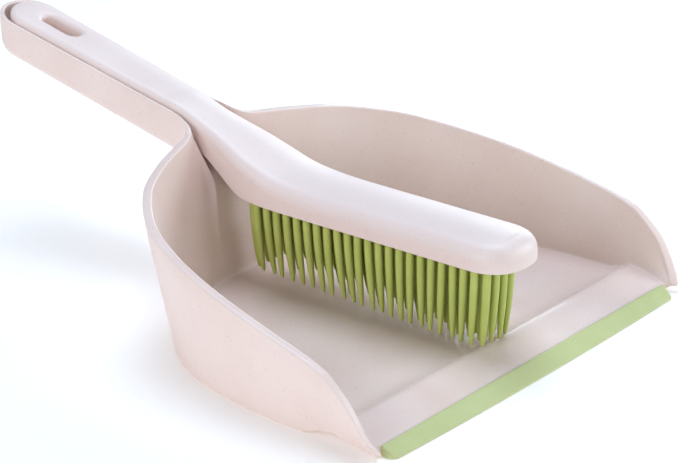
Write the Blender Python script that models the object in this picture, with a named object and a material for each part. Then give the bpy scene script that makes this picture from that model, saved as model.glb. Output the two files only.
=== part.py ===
"""Dust pan with a brush that nests in it.

The pan is one moulding: tray, drafted walls with a thick rim, and a trough-shaped handle. A soft lip
closes its front edge. The brush is a hollow shell, a pad pressed into its head, a ring of soft fingers
below the pad, and rows of fingers inside the ring. The brush handle lies in the trough, and the brush
lifts straight up.

Frame: metres, +X from the handle to the lip, +Z up, the floor at Z = 0, mirror plane Y = 0.
Outlines are in millimetres from the line of the pan's front corners; SHIFT puts the origin under the
middle of the set.
"""

import math

import bmesh
import bpy
from mathutils import Vector

MM = 0.001
GAP = 0.3               # between pieces that touch

# Pan
FLOOR_Z = 6.0           # top of the tray's floor
FLOOR_T = 2.4
FOOT_RING_W = 4.0       # width of the ring under the walls that the pan stands on
FRONT_BAR_W = 6.0       # the ring is this much wider along the front
WALL_T = 2.2            # of the rear wall and the trough
SIDE_WALL_T = 4.0       # of the tray's sides
RIM_W = 4.4             # rim seen from above
RIM_H = 2.6
TROUGH_RIM_W = 2.2
FOOT_FILLET = 1.4       # inside fillet where the walls meet the floor
OUTER_FILLET = 3.0      # outside rounding of the tray's lower edge
REAR_DRAFT = 0.2        # lean of the rear wall, run over rise
REAR_WALL_X = -167.6    # inner face of the rear wall at the floor

# Trough, the pan's handle
SLOPE = 0.227           # rise of the handle's rim over its run
FLOOR_SLOPE = 0.24      # rise of the trough's floor
TROUGH_X = -199.0       # where the straight trough starts
TROUGH_RIM_Z = 79.9     # rim height there
TROUGH_DEPTH = 16.6     # rim down to the inner floor there
TROUGH_W = 14.0         # half width there, outside
TROUGH_END_W = 15.8     # half width and radius of the rounded end
TROUGH_DRAFT = 2.6      # inner floor's edge stands this far in from the outside
TROUGH_END_FILLET = 7.0  # inside fillet of the rounded end's lower edge
TROUGH_END_STEPS = 8
TROUGH_END_X = -305.0   # centre of the rounded end

# Lip strip
LIP_HALF = 107.6
LIP_FRONT = 1.7         # its front edge near the ends
LIP_BOW = 1.8           # how far the middle of its front edge bows out

SHIFT = (TROUGH_END_W - TROUGH_END_X - LIP_FRONT - LIP_BOW) / 2

# Brush
HANDLE_PLAY = 0.5       # gap between the brush handle's side and the trough's wall
HEAD_W = 19.2           # half width of the head
HEAD_TOP = 62.4
HEAD_BOTTOM = 48.8
SHELL_T = 2.2
NOSE_X = -8.0
BRUSH_END_X = -315.0
CAVITY_END_X = -256.0   # the shell is solid behind this, around the hanging slot
CROWN = 1.1             # rise of the top's middle over its edges
CROWN_REACH = 13.0      # where the top is narrower than this, to each side, the rise fades

# Hanging slots
SLOT_X = -286.0
SLOT_LENGTH = 23.0
SLOT_W = 8.4
PAN_SLOT_GROW = 1.0     # the trough's slot is larger than the brush's, all round

# Fingers
PAD_T = 4.5
PAD_INSET = 0.7         # the pad's lower face is this far up inside the head
PAD_REAR = 7.0          # length of the pad's rounded rear end
RING_HALF = 11.6        # half width of the outer ring of fingers
RING_REAR_X = -158.4
RING_NOSE_X = -22.0
RING_CORNER = 5.0
RING_PITCH = 6.0
FINGER_COUNT = 52       # in the ring
INNER_ROWS = 3          # rows inside the ring
INNER_COUNT = 22        # fingers in each
FINGER_SIDES = 8
FINGER_TIP_Z = 9.3      # at the nose
FINGER_TIP_RISE = 4.4   # the rear tips end this much higher
# Share of a finger's length, and its radius there
FINGER_FORM = [(0.0, 1.75), (0.25, 1.9), (0.6, 1.75), (0.85, 1.35), (1.0, 0.8)]
LEAN_NOSE = 2.4         # how far the nose's tips lean towards the rear
LEAN_REAR = 4.2         # and the rear's tips towards the nose
SWAY = 0.5              # how far any finger's tip strays
RIB_T = 1.2             # rib that joins the fingers of an inner row at their roots
RIB_END = 0.8           # the rib runs this far past the outermost fingers
SQUARE = 0.85           # half width of a square finger over the radius of a round one


def rim_z(x):
    """Height of the trough's rim."""
    return TROUGH_RIM_Z + SLOPE * (TROUGH_X - x)


def trough_floor(x):
    return TROUGH_RIM_Z - TROUGH_DEPTH + FLOOR_SLOPE * (TROUGH_X - x)


def trough_w(x):
    """The trough's outer half width."""
    share = max((TROUGH_X - x) / (TROUGH_X - TROUGH_END_X), 0.0)
    return TROUGH_W + (TROUGH_END_W - TROUGH_W) * share


def handle_w(x):
    """The brush handle's half width, a little less than the trough's inside."""
    return trough_w(x) - TROUGH_RIM_W - HANDLE_PLAY


def rear_x(z):
    """The rear wall's inner face."""
    return REAR_WALL_X - REAR_DRAFT * (z - FLOOR_Z)


# Each row is one section of the half pan: rim point, foot of the wall, middle of the floor (x, z),
# height of the underside at the foot and in the middle, and how far the underside stands back.
PAN_ROWS = [
    ((0.2, 113.8, 4.2), (-5.0, 110.8, 2.9), (-3.7, 2.7), 1.4, 1.3, 0.0),
    ((-5.0, 118.4, 10.2), (-8.0, 111.6, 4.3), (-8.0, 4.3), 2.6, 2.0, 0.0),
    ((-13.5, 120.0, 23.2), (-15.0, 112.0, 6.0), (-15.0, 6.0), 3.9, 3.7, 0.0),
    ((-26.0, 120.0, 34.0), (-25.0, 111.6, 8.4), (-25.0, 8.4), 5.8, 6.0, 0.0),
    ((-31.0, 119.8, 36.6), (-29.5, 110.0, 7.0), (-29.5, 7.0), 4.4, 4.4, 0.0),
    ((-37.0, 119.6, 38.9), (-35.0, 108.6, FLOOR_Z), (-35.0, FLOOR_Z), 3.2, 3.4, 0.0),
    ((-46.0, 119.3, 41.5), (-44.0, 108.0, FLOOR_Z), (-44.0, FLOOR_Z), 0.0, 0.0, 0.0),
    ((-62.0, 118.2, 45.3), (-60.0, 107.6, FLOOR_Z), (-60.0, FLOOR_Z), 0.0, 0.0, 0.0),
    ((-92.0, 114.2, 51.8), (-88.0, 104.2, FLOOR_Z), (-84.0, FLOOR_Z), 0.0, 0.0, 0.0),
    ((-122.0, 106.2, 57.8), (-115.0, 96.5, FLOOR_Z), (-107.0, FLOOR_Z), 0.0, 0.0, 0.0),
    ((-148.0, 93.4, 63.5), (-137.0, 82.0, FLOOR_Z), (-128.0, FLOOR_Z), 0.0, 0.0, 0.0),
    ((-168.5, 72.5, 68.5), (-154.0, 61.5, FLOOR_Z), (-146.0, FLOOR_Z), 0.0, 0.0, 0.0),
    ((-180.0, 50.0, 71.3), (-163.0, 42.0, FLOOR_Z), (-158.0, FLOOR_Z), 0.0, 0.0, 0.0),
    ((-185.0, 34.0, 73.3), (-166.8, 26.0, FLOOR_Z), (-165.6, FLOOR_Z), 0.0, 0.0, 0.0),
    ((-186.6, 27.5, 74.0), (-167.9, 21.0, 7.4), (-167.9, 7.4), 0.0, 0.0, 1.9),
    ((-187.8, 23.2, 74.7), (rear_x(13), 18.5, 13.0), (rear_x(13), 13.0), 11.5, 11.5, WALL_T),
    ((-189.4, 19.4, 75.8), (rear_x(33), 16.0, 33.0), (rear_x(33), 33.0), 32.5, 32.5, WALL_T),
    ((-192.6, 16.0, 77.6), (rear_x(53), 13.8, 52.5), (rear_x(53), 52.5), 51.3, 51.3, WALL_T),
    ((TROUGH_X, TROUGH_W, TROUGH_RIM_Z), (-186.0, 12.2, 60.4), (-186.0, 60.4), 57.9, 57.9, 0.8),
]
BASE_ROWS = range(6, 14)    # the rows that stand on the foot ring
REAR_ROW = 13               # the rear wall and the mouth of the trough come after this row


def material(name, colour, roughness):
    """A plain plastic in the piece's own colour."""
    made = bpy.data.materials.new(name)
    made.use_nodes = True
    shader = made.node_tree.nodes["Principled BSDF"]
    shader.inputs["Base Color"].default_value = (*colour, 1.0)
    shader.inputs["Roughness"].default_value = roughness
    shader.inputs["Metallic"].default_value = 0.0
    return made


def finish(name, bm, looks, parent=None):
    """Turns a bmesh in millimetres into a named object in metres."""
    bmesh.ops.remove_doubles(bm, verts=bm.verts, dist=0.001)
    bmesh.ops.recalc_face_normals(bm, faces=bm.faces)
    if bm.calc_volume(signed=True) < 0:
        bmesh.ops.reverse_faces(bm, faces=bm.faces)
    for v in bm.verts:
        v.co = (v.co + Vector((SHIFT, 0.0, 0.0))) * MM
    mesh = bpy.data.meshes.new(name)
    bm.to_mesh(mesh)
    bm.free()
    mesh.shade_smooth()
    mesh.set_sharp_from_angle(angle=math.radians(40))
    mesh.materials.append(looks)
    made = bpy.data.objects.new(name, mesh)
    bpy.context.scene.collection.objects.link(made)
    if parent:
        made.location = -parent.location
        made.parent = parent
    return made


def cut(target, cutter):
    """Takes the cutter's volume out of the target."""
    cutter.hide_render = True
    cutter.display_type = "WIRE"
    modifier = target.modifiers.new("cut_" + cutter.name, "BOOLEAN")
    modifier.operation = "DIFFERENCE"
    modifier.solver = "EXACT"
    modifier.object = cutter


def curve_point(points, t):
    """A Catmull-Rom curve through the points; t runs from 0 to len(points) - 1."""
    i = min(int(t), len(points) - 2)
    u = t - i
    p1, p2 = Vector(points[i]), Vector(points[i + 1])
    p0 = Vector(points[i - 1]) if i > 0 else p1 * 2 - p2
    p3 = Vector(points[i + 2]) if i + 2 < len(points) else p2 * 2 - p1
    straight = p1 + (p2 - p1) * u
    a = (p2 - p0) * 0.5
    b = (p3 - p1) * 0.5
    bent = ((2 * p1 - 2 * p2 + a + b) * u + (3 * p2 - 3 * p1 - 2 * a - b)) * u * u + a * u + p1
    return straight * 0.1 + bent * 0.9


def loft(bm, rings, cap_first=True, cap_last=True):
    """Skins closed rings with the same number of points, one after the other."""
    rows = [[bm.verts.new(p) for p in ring] for ring in rings]
    for one, two in zip(rows, rows[1:]):
        for j in range(len(one)):
            k = (j + 1) % len(one)
            bm.faces.new((one[j], one[k], two[k], two[j]))
    if cap_first:
        bm.faces.new(rows[0][::-1])
    if cap_last:
        bm.faces.new(rows[-1])
    return rows


def towards_middle(rim, foot):
    """The wall's inward direction in plan."""
    inward = Vector((foot.x - rim.x, foot.y - rim.y, 0.0))
    return inward.normalized() if inward.length > 0.01 else Vector((0.0, -1.0, 0.0))


def fillet(corner, side, other, reach, steps=3):
    """Points of a fillet between a corner's two sides, from the first side to the other."""
    start = corner + (side - corner).normalized() * reach
    end = corner + (other - corner).normalized() * reach
    made = []
    for i in range(steps + 1):
        u = i / steps
        made.append(start * (1 - u) ** 2 + corner * 2 * u * (1 - u) + end * u * u)
    return made


def pan_half_section(section):
    """The half section's outer points from the middle to the rim, and its inner ones likewise."""
    rim, foot, middle = section["rim"], section["foot"], section["middle"]
    inward = towards_middle(rim, foot)
    rise = max(rim.z - foot.z, 0.0)
    full = min(rise / 20.0, 1.0)                  # the wall fades out at the front corner
    down = Vector((0.0, 0.0, -1.0))
    rim_in = rim + inward * section["rim_w"]
    wall_out = rim + inward * (section["rim_w"] - section["wall_t"]) + down * max((RIM_H + 2.0) * full, 1.9)
    foot_out = foot - inward * section["wall_t"]
    foot_out.x = min(foot_out.x, foot.x - section["back"])
    foot_out.z = section["under_foot"]
    middle_out = Vector((middle.x - section["back"], 0.0, section["under_middle"]))
    reach_in = min(section["fillet"], 0.45 * rise + 0.4)
    reach_out = min(section["fillet_out"], 0.45 * rise + 0.8)

    outer = [middle_out, middle_out.lerp(foot_out, 0.35)]
    outer += fillet(foot_out, middle_out, wall_out, reach_out)
    outer += [foot_out.lerp(wall_out, 0.6), wall_out, rim + down * max(RIM_H * 0.7 * full, 1.3), rim]
    inner = [middle, middle.lerp(foot, 0.35)]
    inner += fillet(foot, middle, rim_in, reach_in)
    inner += [foot.lerp(rim_in, 0.6), rim_in + down * (RIM_H * full)]
    inner += [rim_in + down * 0.6 * full, rim_in.lerp(rim, 0.25)]
    return outer, inner


def tray_section(t):
    """The section at t, counted in rows from the lip."""
    low = min(int(t), len(PAN_ROWS) - 2)
    share = t - low
    one, two = PAN_ROWS[low], PAN_ROWS[low + 1]
    under_foot, under_middle, back = (one[c] + (two[c] - one[c]) * share for c in (3, 4, 5))
    behind = max(t - REAR_ROW, 0.0) / (len(PAN_ROWS) - 1 - REAR_ROW)
    return {
        "rim": curve_point([row[0] for row in PAN_ROWS], t),
        "foot": curve_point([row[1] for row in PAN_ROWS], t),
        "middle": curve_point([(row[2][0], 0.0, row[2][1]) for row in PAN_ROWS], t),
        "under_foot": under_foot,
        "under_middle": under_middle,
        "back": back,
        "rim_w": RIM_W + (TROUGH_RIM_W - RIM_W) * behind,
        "wall_t": WALL_T + (SIDE_WALL_T - WALL_T) * min(t / 6, 1.0) * (1 - behind),
        "fillet": FOOT_FILLET,
        "fillet_out": OUTER_FILLET,
    }


def trough_section(x, angle=0.0):
    """A section of the trough; the angle turns it round the rounded end."""
    back, side = math.sin(angle), math.cos(angle)
    width = trough_w(x)
    foot_w = width - TROUGH_DRAFT
    rim_x, foot_x = x - width * back, x - foot_w * back
    extra = (TROUGH_END_FILLET - FOOT_FILLET) * back ** 2
    return {
        "rim": Vector((rim_x, width * side, rim_z(rim_x))),
        "foot": Vector((foot_x, foot_w * side, trough_floor(foot_x))),
        "middle": Vector((x, 0.0, trough_floor(x))),
        "under_foot": trough_floor(foot_x) - FLOOR_T,
        "under_middle": trough_floor(x) - FLOOR_T,
        "back": 0.0,
        "rim_w": TROUGH_RIM_W,
        "wall_t": WALL_T,
        "fillet": FOOT_FILLET + extra,
        "fillet_out": FOOT_FILLET + WALL_T + extra,
    }


def pan_sections():
    """All sections of the half pan, from the lip to the end of the trough."""
    sections = []
    for i in range(2 * (len(PAN_ROWS) - 1) + 1):
        sections.append(tray_section(i / 2))
    for x in (-204.0, -240.0, -276.0, TROUGH_END_X):
        sections.append(trough_section(x))
    for i in range(1, TROUGH_END_STEPS + 1):
        sections.append(trough_section(TROUGH_END_X, math.pi / 2 * i / TROUGH_END_STEPS))
    return sections


def recess_cutter(looks):
    """The hollow under the floor, inside the foot ring."""
    right = []
    for row in BASE_ROWS:
        for t in (row, row + 0.5):
            if t > BASE_ROWS[-1]:
                continue
            section = tray_section(t)
            inward = towards_middle(section["rim"], section["foot"])
            right.append(section["foot"] + inward * (OUTER_FILLET - SIDE_WALL_T + FOOT_RING_W))
    outline = [(p.x, p.y) for p in right]
    outline[0] = (right[0].x - FRONT_BAR_W, right[0].y)
    outline += [(x, -y) for x, y in reversed(outline)]
    bm = bmesh.new()
    rings = []
    for height in (-5.0, FLOOR_Z - FLOOR_T):
        rings.append([Vector((x, y, height)) for x, y in outline])
    loft(bm, rings)
    return finish("cutter_recess", bm, looks)


def build_pan(looks):
    bm = bmesh.new()
    rings = []
    for section in pan_sections():
        outer, inner = pan_half_section(section)
        half = outer + inner[::-1]
        other = [Vector((p.x, -p.y, p.z)) for p in outer[1:]]
        other_inner = [Vector((p.x, -p.y, p.z)) for p in inner[1:]]
        ring = half + other_inner + other[::-1]
        rings.append(ring)
    rows = loft(bm, rings, cap_first=False, cap_last=False)
    count = len(rows[0])
    half = (count + 2) // 4
    first = rows[0]
    outer = [first[i] for i in range(half)]
    inner = [first[2 * half - 1 - i] for i in range(half)]
    inner_left = [inner[0]] + [first[2 * half + i] for i in range(half - 1)]
    outer_left = [outer[0]] + [first[count - 1 - i] for i in range(half - 1)]
    for a, b in ((outer, inner), (outer_left, inner_left)):
        for i in range(half - 1):
            bm.faces.new((a[i], a[i + 1], b[i + 1], b[i]))
    return finish("dust_pan", bm, looks)


def slot_cutter(name, grow):
    """A long round-ended peg, square to the handle, for the hanging slots."""
    bm = bmesh.new()
    radius = SLOT_W / 2 + grow
    run = (SLOT_LENGTH - SLOT_W) / 2
    tilt = math.atan(SLOPE)
    along = Vector((-math.cos(tilt), 0.0, math.sin(tilt)))
    up = Vector((math.sin(tilt), 0.0, math.cos(tilt)))
    centre = Vector((SLOT_X, 0.0, rim_z(SLOT_X)))
    outline = []
    for end in (1, -1):
        for i in range(9):
            angle = -math.pi / 2 + math.pi * i / 8
            outline.append((end * (run + radius * math.cos(angle)), end * radius * math.sin(angle)))
    rings = []
    for height in (-30.0, 15.0):
        ring = [centre + along * a + Vector((0.0, b, 0.0)) + up * height for a, b in outline]
        rings.append(ring)
    loft(bm, rings)
    return finish(name, bm, bpy.data.materials["pan_plastic"])


def build_lip(looks):
    """A strip with a slot at its back that holds the pan's front edge."""
    bm = bmesh.new()
    stations = [(LIP_HALF, -1.0), (LIP_HALF - 0.5, -0.5), (LIP_HALF - 1.8, -0.1)]
    stations += [(LIP_HALF - 3.5, 0.0), (LIP_HALF * 0.66, 0.0), (LIP_HALF * 0.33, 0.0), (0.0, 0.0)]
    stations += [(-y, pull) for y, pull in stations[-2::-1]]
    rings = []
    for y, pull in stations:
        front = LIP_FRONT + LIP_BOW * (1 - (y / LIP_HALF) ** 2) + pull
        profile = [
            (-5.8, 4.3), (-5.4, 4.8), (-4.4, 4.8), (front - 1.2, 1.3), (front, 0.4), (front - 0.4, 0.0),
            (-5.8, 0.0), (-5.8, 0.9), (-3.2, 0.9), (-3.2, 3.1), (-5.8, 3.9),
        ]
        rings.append([Vector((x, y, z)) for x, z in profile])
    loft(bm, rings)
    return finish("pan_lip", bm, looks)


BRUSH_TOP = [
    (BRUSH_END_X, rim_z(BRUSH_END_X) + 4.1), (-262.0, rim_z(-262.0) + 4.3),
    (-217.0, rim_z(-217.0) + 4.4),
    (-204.0, 85.3), (-188.0, 80.1), (-172.0, 75.0), (-156.0, 69.4), (-140.0, 64.8), (-124.0, HEAD_TOP + 0.5),
    (-108.0, HEAD_TOP), (-58.0, HEAD_TOP), (NOSE_X, HEAD_TOP),
]
BRUSH_BOTTOM = [
    (BRUSH_END_X, trough_floor(BRUSH_END_X) + 1.2), (-262.0, trough_floor(-262.0) + 1.2),
    (-206.0, trough_floor(-206.0) + 1.2),
    (-196.0, 64.9), (-184.0, 61.6), (-172.0, 55.9), (-160.0, 50.4), (-148.0, HEAD_BOTTOM + 0.2),
    (-136.0, HEAD_BOTTOM), (-70.0, HEAD_BOTTOM), (NOSE_X, HEAD_BOTTOM),
]
BRUSH_SIDE = [
    (-303.0, handle_w(-303.0)), (-240.0, handle_w(-240.0)), (-200.0, handle_w(-200.0)), (-188.0, 12.2),
    (-176.0, 14.3), (-164.0, 17.0), (-152.0, 18.6), (-138.0, HEAD_W), (-80.0, HEAD_W), (-27.0, HEAD_W),
]


def height_at(profile, x):
    """Reads a side profile at x along a smooth curve."""
    for i in range(len(profile) - 1):
        if x <= profile[i + 1][0] or i == len(profile) - 2:
            span = profile[i + 1][0] - profile[i][0]
            t = i + (x - profile[i][0]) / span
            return curve_point([(a, b, 0.0) for a, b in profile], t).y
    return profile[-1][1]


def brush_outline(inset, end_x=BRUSH_END_X, nose_x=NOSE_X):
    """Half the brush's outline from its rear tip round to its nose, moved in by the inset."""
    made = []
    end_w = handle_w(end_x)
    rear_centre = end_x + end_w
    rear_w = height_at(BRUSH_SIDE, max(rear_centre, BRUSH_SIDE[0][0])) - inset
    steps = 7
    for i in range(steps):
        angle = math.pi / 2 * i / steps
        made.append((rear_centre - (end_w - inset) * math.cos(angle), rear_w * math.sin(angle)))
    for x in (rear_centre, -280.0, -240.0, -212.0, -200.0, -192.0, -184.0, -176.0, -168.0, -160.0, -152.0,
              -144.0, -132.0, -108.0, -68.0):
        if x >= rear_centre:
            made.append((x, height_at(BRUSH_SIDE, x) - inset))
    nose_centre = nose_x - HEAD_W
    for i in range(10):
        angle = math.pi / 2 * i / 9
        reach = (HEAD_W - inset) * math.sin(angle) ** 0.9
        made.append((nose_centre + reach, (HEAD_W - inset) * max(math.cos(angle), 0.0) ** 0.8))
    made[-1] = (made[-1][0], 0.0)
    return made


def pillow(bm, levels, cap_rows=(0.55, 0.0), crown=0.0):
    """Skins a stack of half outlines, mirrored, and closes the first and the last across Y."""

    def ring_of(level):
        half = level
        return half + [Vector((p.x, -p.y, p.z)) for p in half[-2:0:-1]]

    rows = loft(bm, [ring_of(level) for level in levels], False, False)
    half_count = len(levels[0])
    for ring, level in ((rows[0], levels[0]), (rows[-1], levels[-1])):
        right = ring[:half_count]
        left = [ring[0]] + ring[:half_count - 1:-1] + [ring[half_count - 1]]
        raise_by = crown if level is levels[-1] else 0.0
        lines = [right]
        for share in cap_rows:
            line = [right[0]]
            for p in level[1:-1]:
                lift = raise_by * (1 - share * share) * min(abs(p.y) / CROWN_REACH, 1.0)
                line.append(bm.verts.new((p.x, p.y * share, p.z + lift)))
            lines.append(line + [right[-1]])
        for share in cap_rows[-2::-1]:
            line = [right[0]]
            for p in level[1:-1]:
                lift = raise_by * (1 - share * share) * min(abs(p.y) / CROWN_REACH, 1.0)
                line.append(bm.verts.new((p.x, -p.y * share, p.z + lift)))
            lines.append(line + [right[-1]])
        lines.append(left)
        for one, two in zip(lines, lines[1:]):
            for i in range(half_count - 1):
                corners = []
                for v in (one[i], one[i + 1], two[i + 1], two[i]):
                    if v not in corners:
                        corners.append(v)
                bm.faces.new(corners)


def edge_radius(x):
    """Radius of the brush's upper edge: tighter in the trough than on the head."""
    share = min(max((x + 205.0) / 60.0, 0.0), 1.0)
    return 3.2 + 4.8 * share


def bottom_radius(x):
    """Radius of the brush's lower edge: round in the trough, crisp on the head."""
    share = min(max((x + 200.0) / 40.0, 0.0), 1.0)
    return 3.4 - 2.8 * share


def pulled_in(outline, j, pull):
    """Point j of a half outline, moved inwards in plan."""
    x, y = outline[j]
    if j == 0:
        return x + pull, 0.0
    if j == len(outline) - 1:
        return x - pull, 0.0
    before, after = outline[j - 1], outline[j + 1]
    normal = Vector((after[1] - before[1], before[0] - after[0])).normalized()
    return x + normal.x * pull, max(y + normal.y * pull, 0.0)


def brush_levels(inset, outline_args=None, bottom_drop=0.0, top_drop=0.0):
    """Outlines of the shell from its lower edge up over its rounded shoulder."""
    outline = brush_outline(inset, **(outline_args or {}))
    levels = []
    for share in (1.0, 0.3, 0.0):
        level = []
        for j, (x, y) in enumerate(outline):
            radius = bottom_radius(x)
            px, py = pulled_in(outline, j, radius * share)
            lift = radius * (1 - share) ** 2
            level.append(Vector((px, py, height_at(BRUSH_BOTTOM, px) - bottom_drop + lift)))
        levels.append(level)
    for i in range(5):
        angle = math.pi / 2 * i / 4
        level = []
        for j, (x, y) in enumerate(outline):
            radius = max(edge_radius(x) - top_drop, 1.0)
            px, py = pulled_in(outline, j, radius * (1 - math.cos(angle)))
            drop = radius * (1 - math.sin(angle)) + top_drop
            level.append(Vector((px, py, height_at(BRUSH_TOP, px) - CROWN - drop)))
        levels.append(level)
    return levels


def build_shell(looks, parent):
    bm = bmesh.new()
    pillow(bm, brush_levels(0.0), crown=CROWN)
    shell = finish("brush_shell", bm, looks, parent)
    bm = bmesh.new()
    hollow = brush_levels(SHELL_T, {"end_x": CAVITY_END_X, "nose_x": NOSE_X}, 2.0, SHELL_T)
    pillow(bm, hollow)
    cavity = finish("cutter_cavity", bm, looks)
    cut(shell, cavity)
    return shell


def build_pad(looks, parent):
    """The pad fills the mouth of the head's hollow; the fingers hang below it."""
    bm = bmesh.new()
    inset = SHELL_T + GAP
    outline = []
    for x, y in brush_outline(inset):
        if x >= RING_REAR_X:
            outline.append((x, y))
    rear = []
    rear_w = outline[0][1]
    for i in range(5):
        angle = math.pi / 2 * i / 5
        rear.append((outline[0][0] - PAD_REAR * math.cos(angle), rear_w * math.sin(angle)))
    outline = rear + outline
    bottom_z = HEAD_BOTTOM + PAD_INSET
    levels = []
    for z in (bottom_z, bottom_z + PAD_T):
        levels.append([Vector((x, y, z)) for x, y in outline])
    pillow(bm, levels, cap_rows=(0.0,))
    return finish("bristle_pad", bm, looks, parent)


def ring_point(distance):
    """Point on the outer ring of fingers, a long loop with rounded corners."""
    length = RING_NOSE_X - RING_REAR_X - 2 * RING_CORNER
    width = 2 * (RING_HALF - RING_CORNER)
    bend = math.pi / 2 * RING_CORNER
    point = Vector((RING_REAR_X + RING_CORNER, -RING_HALF))
    angle = 0.0
    distance = distance % (2 * length + 2 * width + 4 * bend)
    for side in (length, width, length, width):
        along = Vector((math.cos(angle), math.sin(angle)))
        inward = Vector((-along.y, along.x))
        if distance < side:
            return point + along * distance
        point += along * side
        distance -= side
        if distance < bend:
            turn = distance / RING_CORNER
            return point + (along * math.sin(turn) + inward * (1 - math.cos(turn))) * RING_CORNER
        point += (along + inward) * RING_CORNER
        distance -= bend
        angle += math.pi / 2
    return point


def ring_length():
    corners = 2 * math.pi * RING_CORNER
    return 2 * (RING_NOSE_X - RING_REAR_X + 2 * RING_HALF - 4 * RING_CORNER) + corners


def inner_row(number):
    """Roots of one of the rows inside the ring."""
    first, last = RING_REAR_X + RING_PITCH, RING_NOSE_X - RING_PITCH
    y = (number - (INNER_ROWS - 1) / 2) * 2 * RING_HALF / (INNER_ROWS + 1)
    return [Vector((first + (last - first) * i / (INNER_COUNT - 1), y)) for i in range(INNER_COUNT)]


def finger_axis(root, index, share):
    """A finger's centre at a share of its length, 0 at the root: it hangs down with a slight bow."""
    middle = (RING_REAR_X + RING_NOSE_X) / 2
    half = (RING_NOSE_X - RING_REAR_X) / 2
    place = (root.x - middle) / half              # -1 at the rear, 1 at the nose
    rearward = min(max(0.7 - place, 0.0), 1.0)    # fades out towards the nose
    lean = LEAN_REAR * rearward ** 2 * (3 - 2 * rearward) - LEAN_NOSE * max(place, 0.0) ** 6
    sway = SWAY * math.sin(index * 2.4)
    top = HEAD_BOTTOM + PAD_INSET - GAP
    tip = FINGER_TIP_Z + FINGER_TIP_RISE * (1 - place) / 2
    x = root.x + (sway + lean) * max(share, 0.0) ** 1.6
    y = root.y + SWAY * math.sin(index * 1.7) * share
    return Vector((x, y, top + (tip - top) * share))


def build_finger(index, looks, parent):
    """One soft finger: round, a little fuller in its upper half, with a blunt tip."""
    root = ring_point(ring_length() * index / FINGER_COUNT)
    bm = bmesh.new()
    rings = []
    for share, radius in FINGER_FORM:
        centre = finger_axis(root, index, share)
        ring = []
        for i in range(FINGER_SIDES):
            angle = 2 * math.pi * i / FINGER_SIDES
            ring.append(centre + Vector((radius * math.cos(angle), radius * math.sin(angle), 0.0)))
        rings.append(ring)
    loft(bm, rings)
    return finish(f"finger_{index + 1:02d}", bm, looks, parent)


def build_inner_row(number, looks, parent):
    """A row of square fingers that hang from one rib."""
    roots = inner_row(number)
    root_r = FINGER_FORM[0][1]
    top = finger_axis(roots[0], 0, 0.0).z
    bm = bmesh.new()

    def corners(x, z, half):
        return bm.verts.new((x, roots[0].y - half, z)), bm.verts.new((x, roots[0].y + half, z))

    def strip(one, two, faces):
        for a, b in faces:
            bm.faces.new((one[a], one[b], two[b], two[a]))

    cuts = [roots[0].x - root_r - RIB_END]
    for root in roots:
        cuts += [root.x - root_r, root.x + root_r]
    cuts.append(roots[-1].x + root_r + RIB_END)
    bars = [corners(x, top, root_r)[::-1] + corners(x, top - RIB_T, root_r) for x in cuts]
    for i, (one, two) in enumerate(zip(bars, bars[1:])):
        strip(one, two, [(0, 1), (1, 2), (3, 0)])
        if i % 2 == 0:
            strip(one, two, [(2, 3)])
            continue
        index = i // 2
        ring = [one[2], one[3], two[3], two[2]]
        for share, radius in FINGER_FORM[1:]:
            centre = finger_axis(roots[index], index + 17 * (number + 1), share)
            below = []
            for dx, dy in ((-1, -1), (-1, 1), (1, 1), (1, -1)):
                below.append(bm.verts.new(centre + Vector((dx, dy, 0.0)) * radius * SQUARE))
            for j in range(4):
                bm.faces.new((ring[j], ring[(j + 1) % 4], below[(j + 1) % 4], below[j]))
            ring = below
        bm.faces.new(ring)
    bm.faces.new(bars[0])
    bm.faces.new(bars[-1][::-1])
    return finish(f"inner_fingers_{number + 1}", bm, looks, parent)


def main():
    for old in list(bpy.data.objects):
        bpy.data.objects.remove(old, do_unlink=True)

    pan_plastic = material("pan_plastic", (0.80, 0.74, 0.73), 0.45)
    brush_plastic = material("brush_plastic", (0.82, 0.77, 0.77), 0.42)
    lip_rubber = material("lip_rubber", (0.55, 0.66, 0.34), 0.55)
    finger_rubber = material("finger_rubber", (0.46, 0.58, 0.17), 0.5)

    lift = bpy.data.objects.new("brush_lift", None)
    lift.location = ((SHIFT - 100.0) * MM, 0.0, HEAD_TOP * MM)
    bpy.context.scene.collection.objects.link(lift)

    pan = build_pan(pan_plastic)
    cut(pan, slot_cutter("cutter_pan_slot", PAN_SLOT_GROW))
    cut(pan, recess_cutter(pan_plastic))
    build_lip(lip_rubber)
    shell = build_shell(brush_plastic, lift)
    cut(shell, slot_cutter("cutter_brush_slot", 0.0))
    build_pad(finger_rubber, lift)
    for index in range(FINGER_COUNT):
        build_finger(index, finger_rubber, lift)
    for number in range(INNER_ROWS):
        build_inner_row(number, finger_rubber, lift)


main()
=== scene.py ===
"""The looks of a dust pan with a brush that nests in it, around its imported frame.

Every shown piece is a finer mesh than the frame's solid, drawn from the same outlines: the pan with its
rounded rim and its trough, the soft lip, the brush's shell with its hanging slot, the pad and the fingers.
Outlines are in millimetres from the line of the pan's front corners; SHIFT brings them into the frame.
"""

import math

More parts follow.
